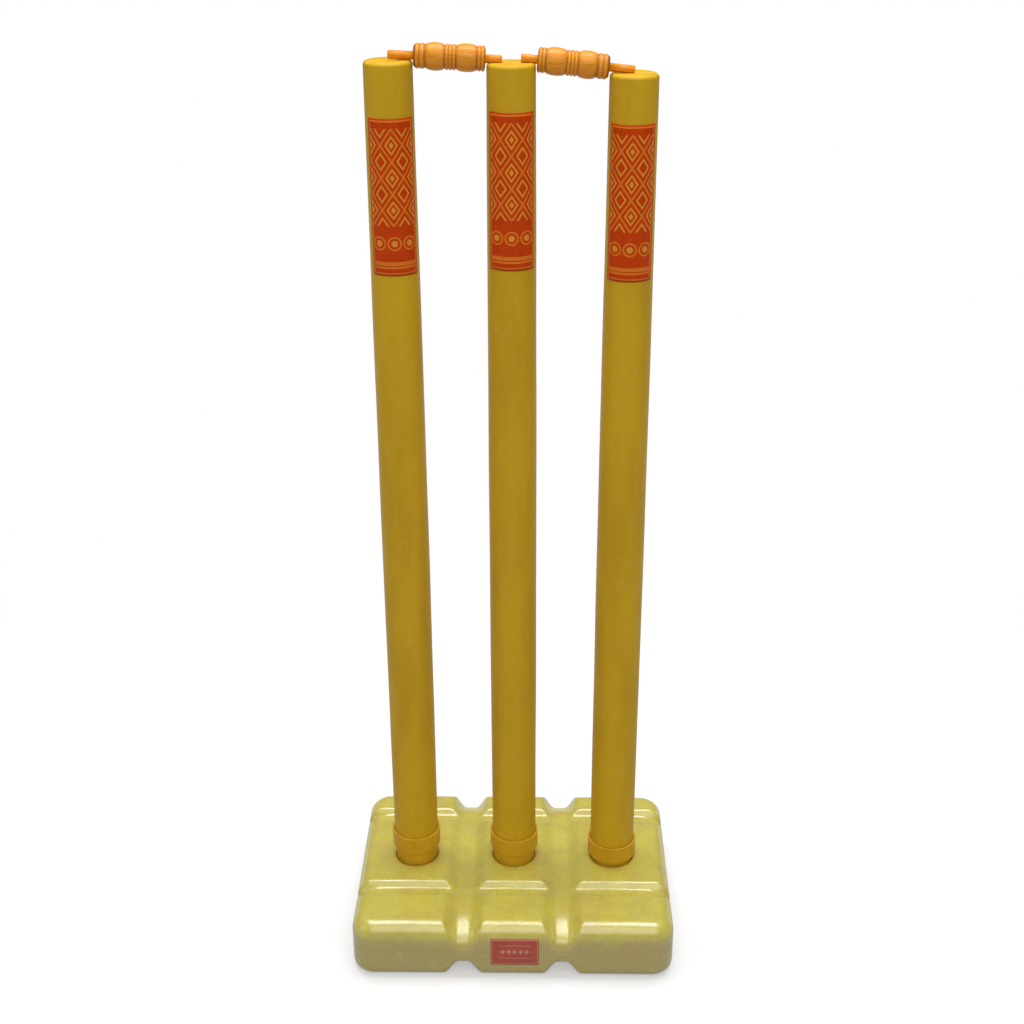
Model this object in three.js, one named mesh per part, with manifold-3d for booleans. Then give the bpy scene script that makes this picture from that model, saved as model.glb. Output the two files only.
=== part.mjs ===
// Cricket stumps: three hollow plastic stumps with two turned bails on a ballasted, blow-moulded base.
// Millimetres, +Z up, front at -Y, origin at the middle of the base's underside.
import * as THREE from 'three';
import { mergeVertices } from 'three/addons/utils/BufferGeometryUtils.js';
import Module from 'manifold-3d';

const wasm = await Module();
wasm.setup();

// Base: overall size, moulding radii and wall
const baseWidth = 283;
const baseDepth = 202;
const baseHeight = 54;
const baseCornerRadius = 20;
const baseTopEdgeRadius = 14;
const baseFootEdgeRadius = 9;
const baseWall = 3;

// Parting line round the middle of the base
const partingHeight = 27;
const partingDepth = 0.5;
const partingWidth = 1.6;

// Grooves that divide the base into raised blocks: soft sides and a flat floor
const longGrooveX = 43.5;
const longGrooveWidth = 40;
const longGrooveFloor = 8;
const longGrooveDepth = 6.5;
const crossGrooveWidth = 22;
const crossGrooveFloor = 4;
const crossGrooveDepth = 4.3;
const frontCrossGrooveY = -45.5;
const rearCrossGrooveY = 62.5;
const underGrooveWidth = 35;
const underGrooveFloor = 7;
const underGrooveDepth = 13;

// At both ends an upper groove's floor rolls over the base's edge: how far from the face the roll
// starts, and its radius
const longRollReach = 40;
const longRollRadius = 68;
const crossRollReach = 24;
const crossRollRadius = 40;

// Filler hole and plug, in the back face on the parting line
const plugFlangeRadius = 15;
const plugFlangeThickness = 3;
const plugStubRadius = 11;
const plugStubTipRadius = 10.4;
const plugStubLength = 12;
const plugBoreDepth = 8;
const plugBossWall = 4;
const plugRecess = 0.3;
const plugClearance = 0.3;
const coinSlotLength = 18;
const coinSlotWidth = 2.6;
const coinSlotDepth = 1.6;

// Sand in the base
const sandLevel = 36;
const sandClearance = 0.3;
const sandPlugClearance = 1;

// Label on the base's front face
const labelWidth = 42;
const labelHeight = 28;
const labelThickness = 0.3;
const labelGap = 0.05;
const labelX = 2;
const labelZ = 28.8;

// Stumps: height is from the collar's lower edge to the top
const stumpSpacing = 90;
const stumpLineY = 4.5;
const stumpHeight = 699;
const stumpTopRadius = 18.2;
const stumpFootRadius = 19.7;
const stumpSwell = 0.7;
const stumpWall = 2;
const stumpCapThickness = 3.5;
const stumpTopEdgeRadius = 3;

// Height of each collar's lower edge above the base's top: each stump is pushed down by its own amount
const leftSeat = 13.9;
const middleSeat = 12;
const rightSeat = 4.6;

// Ferrule on each stump's foot: a collar round the tube and a tapered spigot below it
const collarRadius = 21.7;
const collarHeight = 16;
const collarRimRadius = 1;
const collarWeb = 3;
const collarFit = 0.25;
const tubeSeatGap = 0.3;
const spigotTopRadius = 19.3;
const spigotTipRadius = 18;
const spigotWall = 2.5;
const spigotTipChamfer = 1.5;
const spigotFloorClearance = 5.1;

// Wells for the spigots
const wellRim = 0.8;
const wellFloor = 3.5;
const wellClearance = 0.25;

// Groove across each stump's top for the bails, and how far each one is turned, in degrees
const bailGrooveRadius = 4.2;
const bailGrooveDepth = 1.2;
const leftGrooveTurn = 35;
const middleGrooveTurn = 0;
const rightGrooveTurn = 0;

// Label round each stump: its height and width round the tube, drop below the top and turn in degrees
const decalHeight = 117.6;
const decalWidth = 39;
const decalThickness = 0.2;
const decalGap = 0.1;
const leftDecalDrop = 39;
const middleDecalDrop = 33;
const rightDecalDrop = 34.3;
const leftDecalTurn = 6.5;
const middleDecalTurn = 1;
const rightDecalTurn = -2.5;

// Bails: barrel between two stumps, a long spigot on the outer one and a short one on the middle one
const bailEndPlay = 0.6;
const bailSpigotRadius = 3.1;
const bailSpigotChamfer = 0.6;
const bailOuterSpigot = 18.8;
const bailInnerSpigot = 12.1;
const bailBulgeRadius = 10;
const bailRingRadius = 9.2;
const bailBeadRadius = 9.1;
const bailTurnedRadius = 8.4;
const bailShoulderRadius = 7.2;
const bailRestGap = 0.2;

// Turned shape of a bail's barrel: where each form starts and ends, as shares of the barrel's length.
// Two beads at each end, two bulges, and three rings between the bulges
const bailBeadShares = [[0.03, 0.085], [0.09, 0.155], [0.895, 0.94], [0.945, 0.99]];
const bailBulgeShares = [[0.18, 0.43], [0.605, 0.88]];
const bailRingShares = [[0.445, 0.49], [0.495, 0.54], [0.545, 0.59]];

// How finely the round forms are divided
const stumpFacets = 32;
const bailFacets = 20;
const wellFacets = 32;
const plugFacets = 28;
const grooveSideSteps = 7;
const grooveRollSteps = 5;
const grooveLipSteps = 4;
const tubeSteps = 8;
const decalSteps = 2;
const cornerSteps = 7;
const edgeSteps = 5;
const beadSteps = 3;
const bulgeSteps = 7;
const stumpEdgeSteps = 4;

// Overrun of every cutting tool
const overrun = 1;

// Sizes worked out from the ones above
const leftStumpX = -stumpSpacing;
const rightStumpX = stumpSpacing;
const lowestSeat = Math.min(leftSeat, middleSeat, rightSeat);
const spigotLength = baseHeight + lowestSeat - wellFloor - spigotFloorClearance;
const spigotTaper = (spigotTopRadius - spigotTipRadius) / spigotLength;
const tubeFoot = collarWeb + tubeSeatGap;
const bailBarrel = stumpSpacing - 2 * stumpTopRadius - 2 * bailEndPlay;

// Drops every attribute but position, merges shared corners and leaves out triangles without area
function closedGeometry(geometry) {
  geometry.deleteAttribute('normal');
  geometry.deleteAttribute('uv');
  const merged = mergeVertices(geometry);
  const corners = merged.index.array;
  const kept = [];
  for (let i = 0; i < corners.length; i += 3) {
    const [a, b, c] = corners.slice(i, i + 3);
    if (a !== b && b !== c && c !== a) {
      kept.push(a, b, c);
    }
  }
  merged.setIndex(kept);
  return merged;
}

// A solid for cutting and joining
function solid(geometry) {
  const closed = closedGeometry(geometry);
  const vertProperties = new Float32Array(closed.attributes.position.array);
  const triVerts = new Uint32Array(closed.index.array);
  return new wasm.Manifold(new wasm.Mesh({ numProp: 3, vertProperties, triVerts }));
}

// The geometry of a finished solid
function geometryOf(manifold) {
  const mesh = manifold.getMesh();
  const geometry = new THREE.BufferGeometry();
  geometry.setAttribute('position', new THREE.BufferAttribute(mesh.vertProperties, 3));
  geometry.setIndex(new THREE.BufferAttribute(mesh.triVerts, 1));
  geometry.computeVertexNormals();
  return geometry;
}

// A turned form about Z; its profile runs from the axis round to the axis, or closes on itself
function turned(profile, facets) {
  const points = profile.map(([radius, height]) => new THREE.Vector2(radius, height));
  return new THREE.LatheGeometry(points, facets).rotateX(Math.PI / 2);
}

// A flat-ended cylinder about Z between two heights
function rod(radius, low, high, facets) {
  return turned([[0, low], [radius, low], [radius, high], [0, high]], facets);
}

// A rectangle with round corners, centred on the origin
function roundedRectangle(width, depth, radius) {
  const x = width / 2;
  const y = depth / 2;
  const shape = new THREE.Shape();
  shape.moveTo(-x + radius, -y);
  shape.lineTo(x - radius, -y);
  shape.absarc(x - radius, -y + radius, radius, -Math.PI / 2, 0);
  shape.lineTo(x, y - radius);
  shape.absarc(x - radius, y - radius, radius, 0, Math.PI / 2);
  shape.lineTo(-x + radius, y);
  shape.absarc(-x + radius, y - radius, radius, Math.PI / 2, Math.PI);
  shape.lineTo(-x, -y + radius);
  shape.absarc(-x + radius, -y + radius, radius, Math.PI, 1.5 * Math.PI);
  return shape;
}

// A block with the base's outline between two heights, drawn in by an inset, its edges rounded
function edgedBlock(inset, edge, low, high) {
  const round = edge - inset;
  const width = baseWidth - 2 * edge;
  const depth = baseDepth - 2 * edge;
  const outline = roundedRectangle(width, depth, baseCornerRadius - edge);
  const geometry = new THREE.ExtrudeGeometry(outline, {
    depth: high - low - 2 * round,
    bevelThickness: round,
    bevelSize: round,
    bevelSegments: edgeSteps,
    curveSegments: cornerSteps,
  });
  return solid(geometry.translate(0, 0, low + round));
}

// The base's block, drawn in all round by an inset: its upper edge is rounder than its lower one
function baseBlock(inset) {
  const beyond = 2 * baseTopEdgeRadius;
  const upper = edgedBlock(inset, baseTopEdgeRadius, -beyond, baseHeight - inset);
  const lower = edgedBlock(inset, baseFootEdgeRadius, inset, baseHeight + beyond);
  return upper.intersect(lower);
}

// A closed block between an uneven underside and a flat top, over a grid of places in X and Y
function bedBlock(placesX, placesY, underside, top) {
  const corners = [];
  for (const height of [underside, () => top]) {
    for (const y of placesY) {
      for (const x of placesX) {
        corners.push(x, y, height(x, y));
      }
    }
  }
  const wide = placesX.length;
  const tall = placesY.length;
  const above = wide * tall;
  const faces = [];
  const quad = (a, b, c, d) => faces.push(a, b, c, a, c, d);
  for (let j = 0; j < tall - 1; j += 1) {
    for (let i = 0; i < wide - 1; i += 1) {
      const a = j * wide + i;
      quad(a, a + wide, a + wide + 1, a + 1);
      quad(above + a, above + a + 1, above + a + wide + 1, above + a + wide);
    }
  }
  const rim = [];
  for (let i = 0; i < wide - 1; i += 1) rim.push(i);
  for (let j = 0; j < tall - 1; j += 1) rim.push(j * wide + wide - 1);
  for (let i = wide - 1; i > 0; i -= 1) rim.push((tall - 1) * wide + i);
  for (let j = tall - 1; j > 0; j -= 1) rim.push(j * wide);
  rim.forEach((from, index) => {
    const to = rim[(index + 1) % rim.length];
    quad(from, to, above + to, above + from);
  });
  const geometry = new THREE.BufferGeometry();
  geometry.setAttribute('position', new THREE.Float32BufferAttribute(corners, 3));
  geometry.setIndex(faces);
  return geometry;
}

// A soft groove that sinks from a flat face and runs along Y between two faces: its sides are half
// cosine waves, its floor is flat, and at both ends it rolls down over the faces
function grooveAlongY(width, floor, depth, length, roll) {
  const side = (width - floor) / 2;
  const placesX = [];
  for (let i = 0; i <= grooveSideSteps; i += 1) {
    placesX.push(-width / 2 + (side * i) / grooveSideSteps);
  }
  placesX.push(...placesX.map((x) => -x).reverse());
  const placesY = [-length / 2 - overrun, ...roll.places.map((place) => place - length / 2)];
  placesY.push(...placesY.map((y) => -y).reverse());
  const underside = (x, y) => {
    const share = Math.min((width / 2 - Math.abs(x)) / side, 1);
    const drop = roll.drop(Math.max(length / 2 - Math.abs(y), 0));
    return (-(depth + drop) * (1 - Math.cos(Math.PI * share))) / 2;
  };
  return bedBlock(placesX, placesY, underside, overrun);
}

// How a groove's floor drops towards a face: first gently, then over a lip as round as the base's
// upper edge, which ends flush with the face
function grooveRoll(reach, radius, lip) {
  const lipCentre = radius - Math.sqrt((radius - lip) ** 2 - (reach - lip) ** 2);
  const lipSine = (reach - lip) / (radius - lip);
  const lipPlace = lip * (1 - lipSine);
  const lipTilt = Math.asin(lipSine);
  const drop = (fromFace) =>
    fromFace < lipPlace
      ? lipCentre - Math.sqrt(lip ** 2 - (lip - fromFace) ** 2)
      : radius - Math.sqrt(radius ** 2 - Math.max(reach - fromFace, 0) ** 2);
  const places = [];
  for (let i = 0; i < grooveLipSteps; i += 1) {
    const tilt = Math.PI / 2 - ((Math.PI / 2 - lipTilt) * i) / grooveLipSteps;
    places.push(lip * (1 - Math.sin(tilt)));
  }
  for (let i = 0; i <= grooveRollSteps; i += 1) {
    places.push(reach - radius * Math.sin(lipTilt * (1 - i / grooveRollSteps)));
  }
  return { drop, places };
}

// All the grooves of a block drawn in by an inset: two front to back, two across, two underneath
function grooves(inset) {
  const top = baseHeight - inset;
  const lengthY = baseDepth - 2 * inset;
  const lengthX = baseWidth - 2 * inset;
  const lip = baseTopEdgeRadius - inset;
  const longRoll = grooveRoll(longRollReach - inset, longRollRadius - inset, lip);
  const crossRoll = grooveRoll(crossRollReach - inset, crossRollRadius - inset, lip);
  const level = { drop: () => 0, places: [] };
  const groove = (width, floor, depth, length, roll) =>
    grooveAlongY(width + 2 * inset, floor + 2 * inset, depth, length, roll);
  const tools = [];
  for (const x of [-longGrooveX, longGrooveX]) {
    const above = groove(longGrooveWidth, longGrooveFloor, longGrooveDepth, lengthY, longRoll);
    tools.push(solid(above.translate(x, 0, top)));
    const below = groove(underGrooveWidth, underGrooveFloor, underGrooveDepth, lengthY, level);
    tools.push(solid(below.rotateY(Math.PI).translate(x, 0, inset)));
  }
  for (const y of [frontCrossGrooveY, rearCrossGrooveY]) {
    const across = groove(crossGrooveWidth, crossGrooveFloor, crossGrooveDepth, lengthX, crossRoll);
    tools.push(solid(across.rotateZ(Math.PI / 2).translate(0, y, top)));
  }
  return tools;
}

// The ring that cuts the parting line
function partingRing() {
  const margin = 2 * (overrun + partingDepth);
  const outer = roundedRectangle(baseWidth + margin, baseDepth + margin, baseCornerRadius);
  const inner = roundedRectangle(
    baseWidth - 2 * partingDepth,
    baseDepth - 2 * partingDepth,
    baseCornerRadius - partingDepth,
  );
  outer.holes.push(inner);
  const geometry = new THREE.ExtrudeGeometry(outer, {
    depth: partingWidth,
    bevelEnabled: false,
    curveSegments: cornerSteps,
  });
  return solid(geometry.translate(0, 0, partingHeight - partingWidth / 2));
}

// Radius of a well at a height: the deepest spigot's radius there and its clearance
function socketRadius(height) {
  const depth = baseHeight + lowestSeat - height;
  return spigotTopRadius - spigotTaper * depth + wellClearance;
}

// A well, grown by a wall and starting at a height
function well(x, wall, bottom) {
  const rim = baseHeight - wellRim;
  const floorRadius = socketRadius(wellFloor) + wall;
  const rimRadius = socketRadius(rim) + wall;
  const start = bottom < wellFloor ? [[0, bottom], [floorRadius, bottom]] : [[0, wellFloor]];
  const profile = [
    ...start,
    [floorRadius, wellFloor],
    [rimRadius, rim],
    [rimRadius + wellRim, baseHeight],
    [rimRadius + wellRim, baseHeight + overrun],
    [0, baseHeight + overrun],
  ];
  return solid(turned(profile, wellFacets).translate(x, stumpLineY, 0));
}

// A rod that runs in from the back face at the filler hole
function fillerRod(radius, nearDepth, farDepth) {
  const geometry = rod(radius, -farDepth, -nearDepth, plugFacets);
  return solid(geometry.rotateX(-Math.PI / 2).translate(0, baseDepth / 2, partingHeight));
}

// The room inside the base, drawn in by an inset from its outside
function cavity(inset) {
  let room = baseBlock(inset);
  for (const tool of grooves(inset)) {
    room = room.subtract(tool);
  }
  for (const x of [leftStumpX, 0, rightStumpX]) {
    room = room.subtract(well(x, inset, -overrun));
  }
  const flangeSeat = plugRecess + plugFlangeThickness;
  const bossRadius = plugFlangeRadius + plugClearance + plugBossWall + inset - baseWall;
  const bossDepth = flangeSeat + plugBoreDepth + inset - baseWall;
  return room.subtract(fillerRod(bossRadius, -overrun, bossDepth));
}

function buildBaseShell() {
  let shell = baseBlock(0);
  for (const tool of grooves(0)) {
    shell = shell.subtract(tool);
  }
  shell = shell.subtract(partingRing()).subtract(cavity(baseWall));
  for (const x of [leftStumpX, 0, rightStumpX]) {
    shell = shell.subtract(well(x, 0, wellFloor));
  }
  const flangeSeat = plugRecess + plugFlangeThickness;
  shell = shell.subtract(fillerRod(plugFlangeRadius + plugClearance, -overrun, flangeSeat));
  const boreEnd = flangeSeat + plugBoreDepth + overrun;
  return geometryOf(shell.subtract(fillerRod(plugStubRadius + plugClearance, 0, boreEnd)));
}

function buildSand() {
  const inset = baseWall + sandClearance;
  const filling = cavity(inset);
  const above = new THREE.BoxGeometry(baseWidth, baseDepth, baseHeight);
  const level = filling.subtract(solid(above.translate(0, 0, sandLevel + baseHeight / 2)));
  const plugEnd = plugRecess + plugFlangeThickness + plugStubLength + sandPlugClearance;
  return geometryOf(level.subtract(fillerRod(plugStubRadius + sandPlugClearance, 0, plugEnd)));
}

// The plug, its flange's outer face at height zero and its stub below, with a slot for a coin
function buildPlug() {
  const stubEnd = -plugFlangeThickness - plugStubLength;
  const body = turned(
    [
      [0, stubEnd],
      [plugStubTipRadius, stubEnd],
      [plugStubRadius, -plugFlangeThickness],
      [plugFlangeRadius, -plugFlangeThickness],
      [plugFlangeRadius, 0],
      [0, 0],
    ],
    plugFacets,
  );
  const slot = new THREE.BoxGeometry(coinSlotLength, coinSlotWidth, 2 * coinSlotDepth);
  const seat = plugClearance / 2;
  return geometryOf(solid(body).subtract(solid(slot))).rotateX(-Math.PI / 2).translate(0, seat, 0);
}

// Outer radius of a stump's tube at a height above its collar's lower edge: it narrows towards the top
// and swells a little on the way
function tubeRadius(height) {
  const share = (height - tubeFoot) / (stumpHeight - tubeFoot);
  const straight = stumpFootRadius + (stumpTopRadius - stumpFootRadius) * share;
  return straight + stumpSwell * Math.sin(Math.PI * share);
}

// Points along a tube's side between two heights, each moved off the tube's outside by an offset
function alongTube(from, to, offset, steps) {
  const points = [];
  for (let i = 0; i <= steps; i += 1) {
    const height = from + ((to - from) * i) / steps;
    points.push([tubeRadius(height) + offset, height]);
  }
  return points;
}

function buildTube(grooveTurn) {
  const ceiling = stumpHeight - stumpCapThickness;
  const edgeStart = stumpHeight - stumpTopEdgeRadius;
  const profile = [
    [0, ceiling],
    ...alongTube(ceiling, tubeFoot, -stumpWall, tubeSteps),
    ...alongTube(tubeFoot, edgeStart, 0, tubeSteps).slice(0, -1),
  ];
  for (let i = 0; i <= stumpEdgeSteps; i += 1) {
    const angle = (i / stumpEdgeSteps) * (Math.PI / 2);
    const radius = stumpTopRadius - stumpTopEdgeRadius * (1 - Math.cos(angle));
    profile.push([radius, edgeStart + stumpTopEdgeRadius * Math.sin(angle)]);
  }
  profile.push([0, stumpHeight]);
  const reach = stumpTopRadius + overrun;
  const groove = rod(bailGrooveRadius, -reach, reach, bailFacets).rotateY(Math.PI / 2);
  groove.translate(0, 0, stumpHeight - bailGrooveDepth + bailGrooveRadius);
  groove.rotateZ(THREE.MathUtils.degToRad(grooveTurn));
  return geometryOf(solid(turned(profile, stumpFacets)).subtract(solid(groove)));
}

function buildFerrule() {
  const tip = -spigotLength;
  const bore = stumpFootRadius + collarFit;
  return turned(
    [
      [0, tip],
      [spigotTipRadius - spigotTipChamfer, tip],
      [spigotTipRadius, tip + spigotTipChamfer],
      [spigotTopRadius, 0],
      [collarRadius, 0],
      [collarRadius, collarHeight - collarRimRadius],
      [(collarRadius + bore) / 2, collarHeight],
      [bore, collarHeight],
      [bore, collarWeb],
      [spigotTopRadius - spigotWall, collarWeb],
      [spigotTipRadius - spigotWall, tip + spigotWall],
      [0, tip + spigotWall],
    ],
    stumpFacets,
  );
}

// A label that follows the tube: a thin ring cut to a sector that faces the front
function buildDecal(drop, turn) {
  const high = stumpHeight - drop;
  const low = high - decalHeight;
  const inside = decalGap;
  const outside = decalGap + decalThickness;
  const profile = [
    ...alongTube(low, high, outside, decalSteps),
    ...alongTube(high, low, inside, decalSteps),
  ];
  const ring = turned([...profile, profile[0]], stumpFacets);
  const half = decalWidth / 2 / tubeRadius((low + high) / 2);
  const middle = -Math.PI / 2 + THREE.MathUtils.degToRad(turn);
  const reach = 2 * stumpFootRadius;
  const sector = new THREE.Shape();
  sector.moveTo(0, 0);
  for (const angle of [middle - half, middle, middle + half]) {
    sector.lineTo(reach * Math.cos(angle) / Math.cos(half), reach * Math.sin(angle) / Math.cos(half));
  }
  const wedge = new THREE.ExtrudeGeometry(sector, { depth: decalHeight + 2 * overrun, bevelEnabled: false });
  return geometryOf(solid(ring).intersect(solid(wedge.translate(0, 0, low - overrun))));
}

// A round swelling between two places on the barrel, from one radius up to another and back
function swelling(start, end, low, high, steps) {
  const points = [];
  for (let i = 0; i <= steps; i += 1) {
    const share = i / steps;
    const rise = Math.sqrt(Math.sin(Math.PI * share));
    points.push([low + (high - low) * rise, start + (end - start) * share]);
  }
  return points;
}

// A bail along Z, its barrel centred on the origin and its long spigot at the lower end
function buildBail() {
  const start = -bailBarrel / 2;
  const place = (share) => start + share * bailBarrel;
  const kinds = [
    [bailBeadShares, bailBeadRadius, beadSteps],
    [bailBulgeShares, bailBulgeRadius, bulgeSteps],
    [bailRingShares, bailRingRadius, beadSteps],
  ];
  const forms = kinds.flatMap(([shares, radius, steps]) =>
    shares.map(([from, to]) => [from, to, radius, steps]),
  );
  forms.sort((one, other) => one[0] - other[0]);
  const tip = bailSpigotRadius - bailSpigotChamfer;
  const profile = [
    [0, start - bailOuterSpigot],
    [tip, start - bailOuterSpigot],
    [bailSpigotRadius, start - bailOuterSpigot + bailSpigotChamfer],
    [bailSpigotRadius, start],
    [bailShoulderRadius, start],
  ];
  for (const [from, to, radius, steps] of forms) {
    profile.push(...swelling(place(from), place(to), bailTurnedRadius, radius, steps));
  }
  profile.push([bailShoulderRadius, -start]);
  profile.push([bailSpigotRadius, -start]);
  profile.push([bailSpigotRadius, -start + bailInnerSpigot - bailSpigotChamfer]);
  profile.push([tip, -start + bailInnerSpigot]);
  profile.push([0, -start + bailInnerSpigot]);
  return turned(profile, bailFacets);
}

// How far from a stump's axis its top edge lies at a depth below the top
function topReach(depth) {
  const rise = stumpTopEdgeRadius - depth;
  return stumpTopRadius - stumpTopEdgeRadius + Math.sqrt(stumpTopEdgeRadius ** 2 - rise ** 2);
}

// Lays a bail that slopes down to the right: it rests on the near edge of the higher, left stump and
// with its right tip in the groove of the lower, right stump
function layBail(mesh, leftX, leftTop, leftDepth, rightTop, rightSpigot) {
  const middle = leftX + stumpSpacing / 2;
  const edgeX = leftX + topReach(leftDepth);
  const edgeZ = leftTop - leftDepth;
  const tipX = middle + bailBarrel / 2 + rightSpigot - bailSpigotChamfer;
  const tipZ = rightTop - bailGrooveDepth;
  const slope = Math.atan2(edgeZ - tipZ, tipX - edgeX);
  const offset = (bailSpigotRadius + bailRestGap) / Math.cos(slope);
  const shift = (bailShoulderRadius * Math.sin(slope)) / 2;
  const drop = (middle + shift - edgeX) * Math.tan(slope);
  mesh.position.set(middle + shift, stumpLineY, edgeZ - drop + offset);
  mesh.rotation.y = slope;
}

// Finishes
const stumpPlastic = new THREE.MeshStandardMaterial({ color: 0xb38d27, roughness: 0.48, metalness: 0 });
const ferrulePlastic = new THREE.MeshStandardMaterial({ color: 0xa87f1c, roughness: 0.42, metalness: 0 });
const basePlastic = new THREE.MeshStandardMaterial({ color: 0xc2b95f, roughness: 0.4, metalness: 0 });
const plugPlastic = new THREE.MeshStandardMaterial({ color: 0xb1a650, roughness: 0.45, metalness: 0 });
const drySand = new THREE.MeshStandardMaterial({ color: 0xb9a27a, roughness: 0.95, metalness: 0 });
const decalPaper = new THREE.MeshStandardMaterial({ color: 0xb84410, roughness: 0.5, metalness: 0 });
const labelPaper = new THREE.MeshStandardMaterial({ color: 0xa8483c, roughness: 0.5, metalness: 0 });
const bailWood = new THREE.MeshStandardMaterial({ color: 0xdb942d, roughness: 0.38, metalness: 0 });

function named(name, geometry, material) {
  const mesh = new THREE.Mesh(geometry, material);
  mesh.name = name;
  return mesh;
}

const wicket = new THREE.Group();

// Base with its sand, plug and label
wicket.add(named('base_shell', buildBaseShell(), basePlastic));
wicket.add(named('sand_ballast', buildSand(), drySand));
const fillerPlug = named('filler_plug', buildPlug(), plugPlastic);
fillerPlug.position.set(0, baseDepth / 2 - plugRecess, partingHeight);
wicket.add(fillerPlug);
const baseLabel = named(
  'base_label',
  new THREE.BoxGeometry(labelWidth, labelThickness, labelHeight),
  labelPaper,
);
baseLabel.position.set(labelX, -baseDepth / 2 - labelGap - labelThickness / 2, labelZ);
wicket.add(baseLabel);

// Three stumps, each a group that stands on its own seat
const stumps = [
  ['left', leftStumpX, leftSeat, leftGrooveTurn, leftDecalDrop, leftDecalTurn],
  ['middle', 0, middleSeat, middleGrooveTurn, middleDecalDrop, middleDecalTurn],
  ['right', rightStumpX, rightSeat, rightGrooveTurn, rightDecalDrop, rightDecalTurn],
];
for (const [side, x, seat, grooveTurn, decalDrop, decalTurn] of stumps) {
  const stump = new THREE.Group();
  stump.position.set(x, stumpLineY, baseHeight + seat);
  stump.add(named(`${side}_stump_tube`, buildTube(grooveTurn), stumpPlastic));
  stump.add(named(`${side}_stump_ferrule`, buildFerrule(), ferrulePlastic));
  stump.add(named(`${side}_stump_decal`, buildDecal(decalDrop, decalTurn), decalPaper));
  wicket.add(stump);
}

// Two bails: the left one lies on the left stump's flat top, because that stump's groove is turned away
const topAbove = (seat) => baseHeight + seat + stumpHeight;
const leftBail = named('left_bail', buildBail().rotateY(Math.PI / 2), bailWood);
layBail(leftBail, leftStumpX, topAbove(leftSeat), 0, topAbove(middleSeat), bailInnerSpigot);
wicket.add(leftBail);
const rightBail = named('right_bail', buildBail().rotateY(-Math.PI / 2), bailWood);
layBail(rightBail, 0, topAbove(middleSeat), bailGrooveDepth, topAbove(rightSeat), bailOuterSpigot);
wicket.add(rightBail);

export default wicket;
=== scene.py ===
"""Cricket stumps on a blow-moulded base, with two turned bails: the finish of every surface."""

import math

import bpy
import numpy as np
from bpy.props import FloatProperty, FloatVectorProperty, IntProperty, PointerProperty
from mathutils import Matrix, Vector


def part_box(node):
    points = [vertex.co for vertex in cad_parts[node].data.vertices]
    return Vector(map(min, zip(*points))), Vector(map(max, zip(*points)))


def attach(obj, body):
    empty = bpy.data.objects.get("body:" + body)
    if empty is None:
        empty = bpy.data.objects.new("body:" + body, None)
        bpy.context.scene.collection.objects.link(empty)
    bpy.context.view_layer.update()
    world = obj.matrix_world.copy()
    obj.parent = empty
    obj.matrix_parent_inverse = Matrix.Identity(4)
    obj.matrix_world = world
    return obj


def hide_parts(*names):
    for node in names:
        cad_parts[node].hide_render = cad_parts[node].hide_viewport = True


bl_info = {
    "name": "Cricket Stumps",
    "version": (1, 0, 0),
    "blender": (4, 5, 0),
    "location": "View3D > Sidebar > Wicket",
    "description": "Moulds a wicket base, sets three stumps in it and lays two bails on top",
    "category": "Add Mesh",
}

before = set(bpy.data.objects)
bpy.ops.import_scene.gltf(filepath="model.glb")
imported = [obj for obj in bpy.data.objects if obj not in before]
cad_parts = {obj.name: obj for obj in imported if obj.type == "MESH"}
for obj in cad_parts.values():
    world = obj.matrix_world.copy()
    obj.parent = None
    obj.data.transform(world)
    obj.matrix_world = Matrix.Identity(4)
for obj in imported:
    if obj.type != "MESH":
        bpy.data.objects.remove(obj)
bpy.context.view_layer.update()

MM = 0.001
WHITE = (1, 1, 1, 1)
SIDES = ("left", "middle", "right")

# Places that the frame gives
BASE_LOW, BASE_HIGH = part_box("base_shell")
PLUG_LOW, PLUG_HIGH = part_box("filler_plug")
FERRULES = {side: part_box(f"{side}_stump_ferrule") for side in SIDES}
TUBES = {side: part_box(f"{side}_stump_tube") for side in SIDES}
STUMP_AXES = {side: (low + high) / 2 for side, (low, high) in TUBES.items()}

# Where each turned form of a bail's barrel starts and ends, as shares of the barrel
BEADS = ((0.03, 0.085), (0.09, 0.155), (0.895, 0.94), (0.945, 0.99))
BULGES = ((0.18, 0.43), (0.605, 0.88))
RINGS = ((0.445, 0.49), (0.495, 0.54), (0.545, 0.59))


def linear(code):
    """Turns an sRGB hex colour into linear red, green and blue."""
    values = [int(code[i : i + 2], 16) / 255 for i in (0, 2, 4)]
    return tuple(v / 12.92 if v <= 0.04045 else ((v + 0.055) / 1.055) ** 2.4 for v in values)


def length(name, description, millimetres):
    """A size that a user can change."""
    value = millimetres * MM
    return FloatProperty(name=name, description=description, default=value, unit="LENGTH", precision=5)


def angle(name, description, degrees):
    """An angle that a user can change."""
    value = math.radians(degrees)
    return FloatProperty(name=name, description=description, default=value, subtype="ANGLE")


def colour(name, description, code):
    """A colour that a user can change."""
    value = linear(code)
    return FloatVectorProperty(
        name=name, description=description, default=value, size=3, min=0, max=1, subtype="COLOR"
    )


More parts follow.
